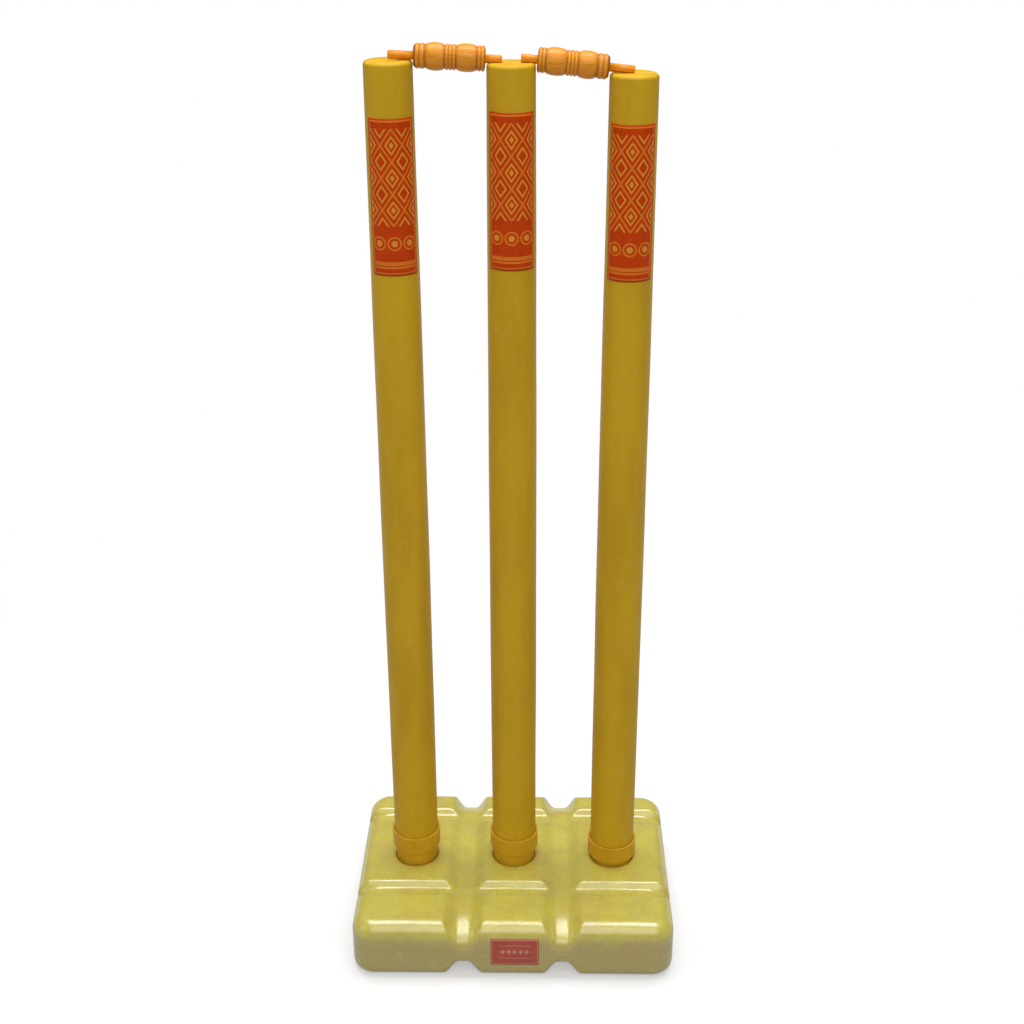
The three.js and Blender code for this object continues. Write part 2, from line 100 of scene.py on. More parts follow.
class BaseMould(bpy.types.PropertyGroup):
    """Sizes and colours of the blow-moulded base"""

    pitch: length("Mesh pitch", "Spacing of the corners of the base's skin", 1.3)
    fine_pitch: length("Fine pitch", "Spacing across the parting line and on the plug", 0.45)
    edge: length("Upper edge radius", "Rounding where the sides meet the top", 14)
    foot_edge: length("Lower edge radius", "Rounding where the sides meet the underside", 9)
    corner: length("Corner radius", "Rounding of the base's corners, seen from above", 20)
    long_place: length("Long groove place", "Distance of the long grooves from the middle", 43.5)
    long_width: length("Long groove width", "Width of the grooves from front to back", 40)
    long_floor: length("Long groove floor", "Width of their flat floor", 8)
    long_depth: length("Long groove depth", "Depth of the grooves from front to back", 6.5)
    long_reach: length("Long groove roll", "Distance from the face at which their floor rolls down", 40)
    long_roll: length("Long groove roll radius", "Radius of that roll", 68)
    cross_width: length("Cross groove width", "Width of the grooves from side to side", 22)
    cross_floor: length("Cross groove floor", "Width of their flat floor", 4)
    cross_depth: length("Cross groove depth", "Depth of the grooves from side to side", 4.3)
    cross_reach: length("Cross groove roll", "Distance from the face at which their floor rolls down", 24)
    cross_roll: length("Cross groove roll radius", "Radius of that roll", 40)
    front_groove: length("Front groove", "Distance of the front cross groove from the middle", 45.5)
    rear_groove: length("Rear groove", "Distance of the rear cross groove from the middle", 62.5)
    under_width: length("Under groove width", "Width of the grooves in the underside", 35)
    under_floor: length("Under groove floor", "Width of their flat floor", 7)
    under_depth: length("Under groove depth", "Depth of the grooves in the underside", 13)
    crown: length("Crown", "How far the blocks swell towards their middle", 0.5)
    sink: length("Sink", "How far the cooling sides sink in between their corners", 0.3)
    parting_height: length("Parting line height", "Height of the line where the mould halves met", 27)
    parting_depth: length("Parting line depth", "Depth of that line", 0.5)
    parting_width: length("Parting line width", "Half width of that line", 0.8)
    well_floor: length("Well floor", "Height of each well's floor above the underside", 3.5)
    well_gap: length("Well gap", "Gap between the deepest spigot and its socket", 0.25)
    rim: length("Well rim", "Rounding of each well's rim", 0.9)
    plug_gap: length("Plug gap", "Gap round the plug and its stub", 0.3)
    plug_flange: length("Plug flange", "Thickness of the plug's flange", 3)
    plug_stub: length("Plug stub radius", "Radius of the plug's stub", 11)
    plug_tip: length("Plug tip radius", "Radius of the stub at its tip", 10.4)
    plug_edge: length("Plug edge", "Rounding of the plug's edges", 0.8)
    slot_length: length("Coin slot length", "Length of the slot in the plug", 18)
    slot_width: length("Coin slot width", "Width of the slot in the plug", 2.6)
    slot_depth: length("Coin slot depth", "Depth of the slot in the plug", 1.6)
    plastic: colour("Base plastic", "Olive yellow of the moulded base", "cabf50")
    plastic_deep: colour("Base plastic, deep", "Browner tone where the wall is thick", "b8a25a")
    plastic_pale: colour("Base plastic, pale", "Paler tone of rubbed and hazed plastic", "dad078")
    # Painted shade: below this height the sides are painted towards the deep tone, darker and browner
    # towards the floor
    low_shade_height: length("Stain height", "Height up to which damp ground has browned the sides", 44)
    sand_pale: colour("Pale sand", "Quartz grains", "cdb892")
    sand_dark: colour("Dark sand", "Iron-stained grains", "8f7650")


class StumpMould(bpy.types.PropertyGroup):
    """Sizes and colours of the stumps and their ferrules"""

    sides: IntProperty(name="Sides", description="Corners round a stump", default=120, min=24)
    foot_radius: length("Foot radius", "Radius of the tube at its foot", 19.7)
    top_radius: length("Top radius", "Radius of the tube just below its top edge", 18.2)
    swell: length("Swell", "How far the tube swells halfway up", 0.7)
    top_edge: length("Top edge", "Rounding of the closed top", 3)
    ring: length("Ring spacing", "Spacing of the rings on the flat top", 0.7)
    step: length("Step", "Spacing of the rings up the tube", 9)
    groove_radius: length("Bail groove radius", "Radius of the groove across the top", 4.2)
    groove_depth: length("Bail groove depth", "Depth of the groove across the top", 1.2)
    left_turn: angle("Left stump turn", "Turn of the left stump's groove", 35)
    seam_height: length("Seam height", "Height of the moulding seams up the tube", 0.12)
    seam_width: length("Seam width", "Half width of the moulding seams", 0.5)
    seam_turn: angle("Seam turn", "Direction of one of the two seams", -38)
    waviness: length("Waviness", "How uneven the cooled tube is", 0.12)
    bore_gap: length("Collar gap", "Gap between tube and collar", 0.25)
    web: length("Collar web", "Thickness of the shelf that the tube stands on", 3)
    rim: length("Collar rim", "Rounding of the collar's upper edge", 0.6)
    spigot_top: length("Spigot top radius", "Radius of the spigot under the collar", 19.3)
    spigot_tip: length("Spigot tip radius", "Radius of the spigot's tip", 18)
    spigot_length: length("Spigot length", "Length of the spigot", 50)
    chamfer: length("Spigot chamfer", "Chamfer of the spigot's tip", 1.5)
    plastic: colour("Stump plastic", "Mustard yellow of the moulded tubes", "d8ac20")
    plastic_deep: colour("Stump plastic, deep", "Browner tone of flow marks", "bd901a")
    plastic_pale: colour("Stump plastic, pale", "Paler tone of rubbed plastic", "dcb84a")
    collar: colour("Collar plastic", "Slightly browner yellow of the ferrules", "dcaa22")


class BailTurning(bpy.types.PropertyGroup):
    """Sizes and colours of the turned bails"""

    sides: IntProperty(name="Sides", description="Corners round a bail", default=72, min=16)
    spigot: length("Spigot radius", "Radius of both spigots", 3.1)
    chamfer: length("Spigot chamfer", "Chamfer of the spigots' tips", 0.6)
    outer: length("Long spigot", "Length of the spigot on the outer stump", 18.8)
    inner: length("Short spigot", "Length of the spigot on the middle stump", 12.1)
    bulge: length("Bulge radius", "Radius of the two bulges", 10)
    ring: length("Ring radius", "Radius of the three rings in the middle", 9.2)
    bead: length("Bead radius", "Radius of the beads at both ends", 9.1)
    groove: length("Groove radius", "Radius in the grooves between these forms", 8.4)
    shoulder: length("Shoulder radius", "Radius of the barrel's end faces", 7.2)
    fibre: length("Fibre width", "Width of the wood's fibre lines", 0.8)
    fibre_run: length("Fibre length", "Length of the wood's fibre lines", 22)
    wood: colour("Wood", "Orange varnished beech", "ee9618")
    wood_dark: colour("Wood, dark", "Darker late wood", "b45c0a")
    wood_pale: colour("Wood, pale", "Paler early wood", "f6ae38")
    # Painted shade: this colour darkens the bails' turned grooves, more the deeper they go
    groove_shade: colour("Stain", "Stain that has gathered in the grooves", "7d3f08")


class PrintInks(bpy.types.PropertyGroup):
    """Sizes and colours of the printed labels"""

    margin: length("Frame margin", "Distance of the frame line from the edge", 1.9)
    line: length("Line width", "Half width of the printed lines", 0.55)
    lozenge_width: length("Lozenge width", "Half width of a lozenge in the lattice", 8.4)
    lozenge_height: length("Lozenge height", "Half height of a lozenge in the lattice", 12)
    field: colour("Field ink", "Red-orange ground of the stump labels", "d44400")
    figure: colour("Figure ink", "Lighter orange of the lines", "e8862a")
    accent: colour("Accent ink", "Ochre of the inner figures", "eda43a")
    label_field: colour("Base label ink", "Dull red of the base label", "c86050")
    label_line: colour("Base label line", "Pale pink of its lines", "e2a692")


class Studio(bpy.types.PropertyGroup):
    """Camera, lamps and floor"""

    camera: FloatVectorProperty(
        name="Camera",
        description="Place of the camera",
        default=(0.01995, -1.1211, 0.9341),
        subtype="TRANSLATION",
    )
    pitch: angle("Pitch", "Tilt below the horizon", 25.23)
    yaw: angle("Yaw", "Turn to the right", -1.05)
    roll: angle("Roll", "Turn about the line of sight", -0.24)
    lens: FloatProperty(name="Lens", description="Focal length in millimetres", default=52.73, min=10)
    key: FloatProperty(name="Key lamp", description="Power of the front lamp", default=42, min=0)
    fill: FloatProperty(name="Fill lamp", description="Power of the side lamp", default=4, min=0)
    top: FloatProperty(name="Top lamp", description="Power of the overhead lamp", default=160, min=0)
    sky: FloatProperty(name="Sky", description="Strength of the light from all round", default=0.18, min=0)
    clear: length("Clear distance", "Where the floor fades to plain white", 900)


def new_material(name):
    """Makes an empty node material, and returns it with its node tree."""
    material = bpy.data.materials.new(name)
    material.use_nodes = True
    material.node_tree.nodes.clear()
    return material, material.node_tree


def add(tree, kind, inputs=None, out=0, **settings):
    """Adds a shader node, sets or links its inputs, and returns the output that out picks."""
    node = tree.nodes.new(f"ShaderNode{kind}")
    for key, value in settings.items():
        setattr(node, key, value)
    for key, value in (inputs or {}).items():
        if isinstance(value, bpy.types.NodeSocket):
            tree.links.new(value, node.inputs[key])
        else:
            node.inputs[key].default_value = value
    return node.outputs[out] if len(node.outputs) else None


def opaque(rgb):
    """A colour with full alpha, for a socket."""
    return (*rgb, 1.0)


def dress(tree, ground, layers, inputs):
    """Lays inks over a ground colour, each as far as its mask says, on a shader with these inputs."""
    # A Mix node's sockets for colours: the share and both colours go in, and the result comes out
    share, under, over, result = 0, 6, 7, 2
    paint = opaque(ground)
    for mask, ink in layers:
        sockets = {share: mask, under: paint, over: opaque(ink)}
        paint = add(tree, "Mix", sockets, result, data_type="RGBA")
    shader = add(tree, "BsdfPrincipled", {"Base Color": paint, **inputs})
    add(tree, "OutputMaterial", {"Surface": shader})


def moulded_polyethylene(name, tone, deep, pale, streak, roughness, shine, low_shade_height=0.0, skin=0.0):
    """Blow-moulded or injection-moulded polyethylene: a waxy, slightly translucent-looking skin.

    The resin's pigment flows out as the parison is drawn, so the colour clouds softly and streaks
    along the draw. Handling rubs paler patches into it, and the mould's blasted wall leaves an
    orange-peel texture that breaks up the gloss. The peel is about 0.5 mm across on the real thing
    and is drawn at about 1.2 mm, so that it still shows in a view of the whole wicket. Below the
    shade height, the skin is painted darker and browner towards the floor, a painted shade. skin is
    the weight of the thin glossy layer that chilled against a cold mould wall and gives whiter
    highlights.
    """
    material, tree = new_material(name)
    place = add(tree, "TexCoord", out="Object")
    drawn = add(tree, "Mapping", {"Vector": place, "Scale": (1, 1, streak)})
    noises = {}
    for kind, vector, size, detail, rough in (
        ("cloud", drawn, 22 * MM, 5, 0.55),
        ("rub", place, 9 * MM, 8, 0.7),
        ("speck", place, 1.1 * MM, 2, 0.5),
        ("peel", place, 1.2 * MM, 2, 0.45),
    ):
        inputs = {"Vector": vector, "Scale": 1 / size, "Detail": detail, "Roughness": rough}
        noises[kind] = add(tree, "TexNoise", inputs)
    layers = []
    for kind, low, high, most, ink in (
        ("cloud", 0.42, 0.72, 0.55, deep),
        ("rub", 0.56, 0.78, 0.6, pale),
        ("speck", 0.66, 0.78, 0.35, deep),
    ):
        inputs = {"Value": noises[kind], "From Min": low, "From Max": high, "To Max": most}
        layers.append((add(tree, "MapRange", inputs), ink))
    if low_shade_height:
        # Painted shade, darker and browner towards the floor: it lies over the clouds and under what
        # handling has rubbed pale
        up = add(tree, "SeparateXYZ", {0: place}, "Z")
        inputs = {"Value": up, "From Min": low_shade_height, "From Max": 0.7 * low_shade_height, "To Max": 0.75}
        layers.insert(1, (add(tree, "MapRange", inputs, interpolation_type="SMOOTHSTEP"), deep))
    gloss, matt = roughness - 0.07, roughness + 0.12
    inputs = {"Value": noises["rub"], "From Min": 0.3, "From Max": 0.8, "To Min": gloss, "To Max": matt}
    dull = add(tree, "MapRange", inputs)
    height = add(tree, "Math", {0: noises["peel"], 1: noises["cloud"]}, operation="ADD")
    bump = add(tree, "Bump", {"Strength": 0.35, "Distance": 0.12 * MM, "Height": height})
    inputs = {"Roughness": dull, "IOR": 1.51, "Specular IOR Level": shine, "Normal": bump}
    inputs |= {"Coat Weight": skin, "Coat Roughness": 0.2, "Coat Normal": bump}
    dress(tree, tone, layers, inputs)
    return material


def varnished_beech(look):
    """Turned beech, dipped in an orange spirit varnish: fibres run the length of the bail.

    Beech shows short darker flecks along the grain. The turned grooves are painted darker, the
    deeper the darker, as a painted shade. The varnish's thin clear skin gives a sharper highlight
    than the plastic has.
    """
    material, tree = new_material("varnished_turned_beech")
    place = add(tree, "Attribute", out="Vector", attribute_name="lathe_place")
    across, along = 1 / look.fibre, 1 / look.fibre_run
    fibres = add(tree, "Mapping", {"Vector": place, "Scale": (across, across, along)})
    inputs = {"Vector": fibres, "Scale": 1.0, "Detail": 6, "Roughness": 0.62, "Distortion": 0.5}
    grain = add(tree, "TexNoise", inputs)
    fleck_size, fleck_stretch = 2.6 * MM, 0.14
    growth = add(tree, "Mapping", {"Vector": place, "Scale": (1, 1, fleck_stretch)})
    inputs = {"Vector": growth, "Scale": 1 / fleck_size, "Detail": 3, "Roughness": 0.5}
    rings = add(tree, "TexNoise", inputs)
    late = add(tree, "MapRange", {"Value": grain, "From Min": 0.5, "From Max": 0.72, "To Max": 0.8})
    early = add(tree, "MapRange", {"Value": rings, "From Min": 0.48, "From Max": 0.75, "To Max": 0.7})
    # Painted shade: a mask that grows with the depth of the turned grooves
    groove_shade_mask = add(tree, "Attribute", out="Fac", attribute_name="groove_shade")
    dull = add(tree, "MapRange", {"Value": grain, "To Min": 0.34, "To Max": 0.5})
    bump = add(tree, "Bump", {"Strength": 0.4, "Distance": 0.1 * MM, "Height": grain})
    inputs = {"Roughness": dull, "IOR": 1.5, "Specular IOR Level": 0.3, "Normal": bump}
    inputs |= {"Coat Weight": 0.12, "Coat Roughness": 0.2}
    layers = ((early, look.wood_pale), (late, look.wood_dark), (groove_shade_mask, look.groove_shade))
    dress(tree, look.wood, layers, inputs)
    return material


def printed_film(name, steps, size, inks, roughness):
    """Screen-printed vinyl film: flat inks under a thin gloss, with pinholes and rubbed edges.

    steps are sums on the place across and up the film, in millimetres from its middle. inks are
    the ground's colour and then pairs of an area from those sums and its colour, laid one over the
    other.
    """
    material, tree = new_material(name)
    shares = add(tree, "SeparateXYZ", {0: add(tree, "UVMap", uv_map="print")}).node.outputs
    values = {}
    for key, share, extent in zip(("across", "up"), shares, size):
        centred = add(tree, "Math", {0: share, 1: 0.5}, operation="SUBTRACT")
        values[key] = add(tree, "Math", {0: centred, 1: extent / MM}, operation="MULTIPLY")
    for result, operation, *terms in steps:
        inputs = {i: values.get(term, term) for i, term in enumerate(terms)}
        values[result] = add(tree, "Math", inputs, operation=operation)
    place = add(tree, "TexCoord", out="Object")
    blot_size, pinhole_size, rubbed_tone = 5 * MM, 0.7 * MM, 0.72
    inputs = {"Vector": place, "Scale": 1 / blot_size, "Detail": 6, "Roughness": 0.65}
    blot = add(tree, "TexNoise", inputs)
    pinhole = add(tree, "TexNoise", {"Vector": place, "Scale": 1 / pinhole_size, "Detail": 1})
    thin = add(tree, "MapRange", {"Value": blot, "From Min": 0.4, "From Max": 0.7, "To Max": 0.6})
    inputs = {"Value": pinhole, "From Min": 0.3, "From Max": 0.5, "To Min": 0.5, "To Max": 0.9}
    cover = add(tree, "MapRange", inputs)
    ground, *figures = inks
    layers = [(thin, [rubbed_tone * c for c in ground])]
    for area, ink in figures:
        layers.append((add(tree, "Math", {0: values[area], 1: cover}, operation="MULTIPLY"), ink))
    dull = add(tree, "MapRange", {"Value": blot, "To Min": roughness - 0.08, "To Max": roughness + 0.12})
    bump = add(tree, "Bump", {"Strength": 0.25, "Distance": 0.1 * MM, "Height": blot})
    inputs = {"Roughness": dull, "IOR": 1.5, "Specular IOR Level": 0.12, "Normal": bump}
    dress(tree, ground, layers, inputs)
    return material


def border_steps(half_width, half_height, margin, line):
    """The sums for a line that runs round a label at a margin from its edge."""
    return [
        ("side", "ABSOLUTE", "across"),
        ("rise", "ABSOLUTE", "up"),
        ("from_side", "SUBTRACT", half_width, "side"),
        ("from_end", "SUBTRACT", half_height, "rise"),
        ("from_edge", "MINIMUM", "from_side", "from_end"),
        ("border", "COMPARE", "from_edge", margin, line),
    ]


def stump_print(look, size):
    """The stump label's design: a border, a lattice of nested lozenges, a row of rings and two bars."""
    line, margin = look.line / MM, look.margin / MM
    wide, tall = look.lozenge_width / MM, look.lozenge_height / MM
    half_width, half_height = size[0] / MM / 2, size[1] / MM / 2
    lattice_middle, lattice_half = half_height - 3.6 * tall, 3 * tall
    nest_outer, nest_inner, nest_line, seed_size = 1.5, 0.52, 0.09, 0.22
    row_height, row_pitch, hoop_radius, disc_radius = 25 - half_height, 11.8, 4.8, 2.4
    low_bar, high_bar = 3.4 * margin - half_height, 5 * margin - half_height
    steps = [
        *border_steps(half_width, half_height, margin, line),
        ("lattice_up", "SUBTRACT", "up", lattice_middle),
        ("lattice_rise", "ABSOLUTE", "lattice_up"),
        ("in_height", "LESS_THAN", "lattice_rise", lattice_half),
        ("in_width", "LESS_THAN", "side", 2 * wide + line),
        ("in_lattice", "MULTIPLY", "in_height", "in_width"),
        ("fold_x", "PINGPONG", "across", wide),
        ("fold_y", "PINGPONG", "lattice_up", tall),
        ("share_x", "DIVIDE", "fold_x", wide),
        ("share_y", "DIVIDE", "fold_y", tall),
        ("lozenge", "ADD", "share_x", "share_y"),
        ("web_line", "COMPARE", "lozenge", 1, 1.5 * line / wide),
        ("web", "MULTIPLY", "web_line", "in_lattice"),
        ("inner_line", "COMPARE", "lozenge", nest_inner, nest_line),
        ("outer_line", "COMPARE", "lozenge", nest_outer, nest_line),
        ("seed", "LESS_THAN", "lozenge", seed_size),
        ("nest_lines", "MAXIMUM", "inner_line", "outer_line"),
        ("nest", "MAXIMUM", "nest_lines", "seed"),
        ("nested", "MULTIPLY", "nest", "in_lattice"),
        ("row_up", "SUBTRACT", "up", row_height),
        ("row_fold", "PINGPONG", "across", row_pitch / 2),
        ("row_square", "MULTIPLY", "row_fold", "row_fold"),
        ("up_square", "MULTIPLY", "row_up", "row_up"),
        ("square", "ADD", "row_square", "up_square"),
        ("distance", "SQRT", "square"),
        ("hoop", "COMPARE", "distance", hoop_radius, 1.2 * line),
        ("disc", "LESS_THAN", "distance", disc_radius),
        ("in_row", "LESS_THAN", "side", half_width - 1.5 * margin),
        ("bar_low", "COMPARE", "up", low_bar, 1.4 * line),
        ("bar_high", "COMPARE", "up", high_bar, 2.6 * line),
        ("bars", "MAXIMUM", "bar_low", "bar_high"),
        ("row_lines", "MAXIMUM", "hoop", "bars"),
        ("row_lines_in", "MULTIPLY", "row_lines", "in_row"),
        ("lattice_lines", "MAXIMUM", "border", "web"),
        ("lines", "MAXIMUM", "lattice_lines", "row_lines_in"),
        ("disc_in", "MULTIPLY", "disc", "in_row"),
        ("fills", "MAXIMUM", "nested", "disc_in"),
    ]
    inks = (look.field, ("lines", look.figure), ("fills", look.accent))
    return printed_film("screen_printed_stump_film", steps, size, inks, roughness=0.4)


def base_print(look, size):
    """The base label's design: a thin border and a row of lozenges between two rules."""
    half_width, half_height = size[0] / MM / 2, size[1] / MM / 2
    margin, line, wide, tall, fullness = 1.2, 0.3, 2.6, 3.4, 0.8
    steps = [
        *border_steps(half_width, half_height, margin, line),
        ("fold", "PINGPONG", "across", wide),
        ("share_x", "DIVIDE", "fold", wide),
        ("share_y", "DIVIDE", "rise", tall),
        ("lozenge", "ADD", "share_x", "share_y"),
        ("filled", "LESS_THAN", "lozenge", fullness),
        ("rule", "COMPARE", "rise", 2 * tall, line),
        ("row", "MAXIMUM", "filled", "rule"),
        ("in_row", "LESS_THAN", "side", half_width - 2 * tall),
        ("figures", "MULTIPLY", "row", "in_row"),
        ("lines", "MAXIMUM", "border", "figures"),
    ]
    inks = (look.label_field, ("lines", look.label_line))
    return printed_film("printed_base_label_film", steps, size, inks, roughness=0.38)


def dry_sand(look):
    """Dry builder's sand: loose matt grains about 0.8 mm across, drawn at 1.5 mm so that they show."""
    material, tree = new_material("dry_builders_sand")
    grain_size = 1.5 * MM
    place = add(tree, "TexCoord", out="Object")
    grains = add(tree, "TexVoronoi", {"Vector": place, "Scale": 1 / grain_size}).node.outputs
    tone = add(tree, "TexNoise", {"Vector": grains["Position"], "Scale": 1 / grain_size, "Detail": 2})
    inputs = {"Strength": 0.8, "Distance": 0.5 * MM, "Height": grains["Distance"]}
    bump = add(tree, "Bump", inputs, invert=True)
    inputs = {"Roughness": 0.95, "IOR": 1.54, "Normal": bump}
    dress(tree, look.sand_dark, [(tone, look.sand_pale)], inputs)
    return material


def make_piece(name, shape, material, body, node, slot):
    """A smooth mesh from points and faces, which rides on a body and stands for a node of the frame."""
    points, faces = shape
    mesh = bpy.data.meshes.new(name)
    mesh.from_pydata([tuple(p) for p in points], [], [tuple(int(i) for i in f) for f in faces])
    mesh.validate()
    mesh.polygons.foreach_set("use_smooth", [True] * len(mesh.polygons))
    mesh.materials.append(material)
    piece = bpy.data.objects.new(name, mesh)
    bpy.context.scene.collection.objects.link(piece)
    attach(piece, body)
    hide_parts(node)
    return piece


def fillet(a, b, radius):
    """Where two forms overlap, with their common edge rounded."""
    outside = np.hypot(np.maximum(a + radius, 0), np.maximum(b + radius, 0))
    return np.minimum(np.maximum(a, b), -radius) + outside


def groove(offset, width, floor):
    """Section of a soft groove: 1 on its flat floor, 0 outside it, and a cosine slope in between."""
    share = (np.abs(offset) - floor / 2) / ((width - floor) / 2)
    return (1 + np.cos(np.pi * np.clip(share, 0, 1))) / 2


def skin(form, axes):
    """The closed surface of a form: one corner in each grid cell that it crosses, moved onto it."""
    grid = np.stack(np.meshgrid(*axes, indexing="ij"), -1)
    value = form(grid.reshape(-1, 3)).reshape(grid.shape[:3])
    inside = value < 0
    cells = tuple(n - 1 for n in value.shape)
    total, count, crossings = np.zeros((*cells, 3)), np.zeros(cells), []
    for axis in range(3):
        low = tuple(slice(None, -1) if a == axis else slice(None) for a in range(3))
        high = tuple(slice(1, None) if a == axis else slice(None) for a in range(3))
        crossed = inside[low] != inside[high]
        step = np.where(crossed, value[low] - value[high], 1)
        share = np.where(crossed, value[low] / step, 0)[..., None]
        place = np.where(crossed[..., None], grid[low] + share * (grid[high] - grid[low]), 0)
        for first in (0, 1):
            for second in (0, 1):
                starts = iter((first, second))
                window = tuple(
                    slice(None) if a == axis else slice(s := next(starts), s + cells[a]) for a in range(3)
                )
                total += place[window]
                count += crossed[window]
        crossings.append((crossed, inside[low]))
    filled = count > 0
    number = np.full(cells, -1)
    number[filled] = np.arange(filled.sum())
    points = total[filled] / count[filled][:, None]
    faces = []
    for axis, (crossed, leaving) in enumerate(crossings):
        first, second = (axis + 1) % 3, (axis + 2) % 3
        edges = np.argwhere(crossed)
        ring = []
        for back_first, back_second in ((1, 1), (0, 1), (0, 0), (1, 0)):
            cell = edges.copy()
            cell[:, first] -= back_first
            cell[:, second] -= back_second
            ring.append(number[tuple(cell.T)])
        quads = np.stack(ring, -1)
        outward = leaving[crossed]
        faces.extend(np.where(outward[:, None], quads, quads[:, ::-1]))
    return settle(form, points), faces


def settle(form, points, rounds=3, reach=0.02 * MM, gentlest=0.25):
    """Moves points onto the surface of a form; gentlest limits the step where it hardly rises."""
    for _ in range(rounds):
        rises = [form(points + offset) - form(points - offset) for offset in np.eye(3) * reach]
        slope = np.stack(rises, -1) / (2 * reach)
        steep = np.maximum((slope**2).sum(1), gentlest)
        points = points - slope * (form(points) / steep)[:, None]
    return points


def spaced(low, high, pitch):
    """Evenly spaced places that run one pitch past both ends."""
    count = math.ceil((high - low) / pitch) + 1
    return np.linspace(low - pitch, high + pitch, count + 2)


def soften(profile, radii, steps=5):
    """A turned profile with rounded corners; radii gives the rounding of each inner point."""
    points = [np.array(p, float) for p in profile]
    result = [points[0]]
    for before, corner, after, radius in zip(points, points[1:], points[2:], radii):
        if radius <= 0:
            result.append(corner)
            continue
        to_before, to_after = before - corner, after - corner
        reach = min(radius, 0.5 * np.linalg.norm(to_before), 0.5 * np.linalg.norm(to_after))
        start = corner + reach * to_before / np.linalg.norm(to_before)
        end = corner + reach * to_after / np.linalg.norm(to_after)
        for i in range(steps + 1):
            t = i / steps
            result.append((1 - t) ** 2 * start + 2 * t * (1 - t) * corner + t**2 * end)
    result.append(points[-1])
    return result


def lathe(profile, sides):
    """Turns a profile of radius and height about Z; the first and last points lie on the axis."""
    angles = np.arange(sides) * 2 * np.pi / sides
    rings = [(r, z) for r, z in profile[1:-1]]
    points = [(r * np.cos(a), r * np.sin(a), z) for r, z in rings for a in angles]
    points += [(0, 0, profile[0][1]), (0, 0, profile[-1][1])]
    bottom, top = len(points) - 2, len(points) - 1
    last = (len(rings) - 1) * sides
    faces = []
    for i in range(sides):
        j = (i + 1) % sides
        faces.append((bottom, j, i))
        faces.append((top, last + i, last + j))
        for k in range(len(rings) - 1):
            faces.append((k * sides + i, k * sides + j, (k + 1) * sides + j, (k + 1) * sides + i))
    return np.array(points), faces


def socket_radius(base, stump, height):
    """Radius of the wells' tapered part at a height, from the deepest spigot."""
    deepest = min(low.z for low, high in FERRULES.values())
    taper = (stump.spigot_top - stump.spigot_tip) / stump.spigot_length
    return stump.spigot_tip + taper * (height - deepest) + base.well_gap


def rolled(from_face, reach, radius, lip):
    """How far a groove's floor has dropped near a face: first gently, then over a round lip."""
    gentle = radius - np.sqrt(radius**2 - np.clip(reach - from_face, 0, reach) ** 2)
    centre = radius - math.sqrt((radius - lip) ** 2 - (reach - lip) ** 2)
    over = centre - np.sqrt(lip**2 - np.clip(lip - from_face, 0, lip) ** 2)
    return np.where(from_face < lip * (radius - reach) / (radius - lip), over, gentle)


def base_form(points, base, stump):
    """How far points lie outside the base: blocks, grooves, wells, parting line and filler hole."""
    x, y, z = points.T
    width, depth, height = BASE_HIGH.x, BASE_HIGH.y, BASE_HIGH.z
    line = STUMP_AXES["middle"].y
    swell = (1 - np.cos(np.pi * x / base.long_place)) / 2 * base.crown
    pull = base.sink * (np.cos(np.pi * x / width / 2) + np.cos(np.pi * y / depth / 2))
    parting = base.parting_depth * np.exp(-(((z - base.parting_height) / base.parting_width) ** 2))
    qx = np.abs(x) - width + base.corner
    qy = np.abs(y) - depth + base.corner
    plan = np.hypot(np.maximum(qx, 0), np.maximum(qy, 0)) + np.minimum(np.maximum(qx, qy), 0) - base.corner
    from_long = np.abs(x) - base.long_place
    long = groove(from_long, base.long_width, base.long_floor)
    cross = groove(y + base.front_groove, base.cross_width, base.cross_floor)
    cross = cross + groove(y - base.rear_groove, base.cross_width, base.cross_floor)
    long_drop = rolled(depth - np.abs(y), base.long_reach, base.long_roll, base.edge)
    cross_drop = rolled(width - np.abs(x), base.cross_reach, base.cross_roll, base.edge)
    long_sunk = long * (base.long_depth + long_drop)
    cross_sunk = cross * (base.cross_depth + cross_drop)
    blend = 4
    sunk = (long_sunk**blend + cross_sunk**blend) ** (1 / blend)
    under = groove(from_long, base.under_width, base.under_floor) * base.under_depth
    top = z - height + swell
    block = fillet(plan + parting + pull, top, base.edge)
    in_groove, sharpest = 0.35 * base.edge, 0.1 * MM
    upper = fillet(block, top + sunk, np.maximum(in_groove * long, sharpest))
    body = fillet(upper, under - z, base.foot_edge)
    socket = socket_radius(base, stump, z)
    for axis in STUMP_AXES.values():
        hole = np.maximum(np.hypot(x - axis.x, y - line) - socket, base.well_floor - z)
        body = fillet(body, -hole, base.rim)
    from_axis = np.hypot(x, z - (PLUG_LOW.z + PLUG_HIGH.z) / 2)
    flange = (PLUG_HIGH.x - PLUG_LOW.x) / 2
    seat = PLUG_HIGH.y - base.plug_flange - base.plug_gap / 2
    recess = np.maximum(from_axis - flange - base.plug_gap, seat - y)
    bore = np.maximum(from_axis - base.plug_stub - base.plug_gap, PLUG_LOW.y - 2 * base.plug_flange - y)
    return fillet(fillet(body, -recess, base.plug_edge), -bore, base.plug_edge / 2)


def plug_form(points, base):
    """How far points lie outside the filler plug: flange, tapered stub and coin slot."""
    x, y, z = points.T
    z = z - (PLUG_LOW.z + PLUG_HIGH.z) / 2
    from_axis = np.hypot(x, z)
    flange = (PLUG_HIGH.x - PLUG_LOW.x) / 2
    face = PLUG_HIGH.y
    under = face - base.plug_flange
    share = np.clip((under - y) / (under - PLUG_LOW.y), 0, 1)
    stub = from_axis - base.plug_stub - (base.plug_tip - base.plug_stub) * share
    head = fillet(fillet(from_axis - flange, y - face, base.plug_edge), under - y, base.plug_edge / 2)
    stem = fillet(stub, np.maximum(PLUG_LOW.y - y, y - face + base.plug_edge), base.plug_edge / 2)
    slot = np.maximum(np.abs(x) - base.slot_length / 2, np.abs(z) - base.slot_width / 2)
    slot = np.maximum(slot, face - base.slot_depth - y)
    return fillet(np.minimum(head, stem), -slot, base.plug_edge / 3)


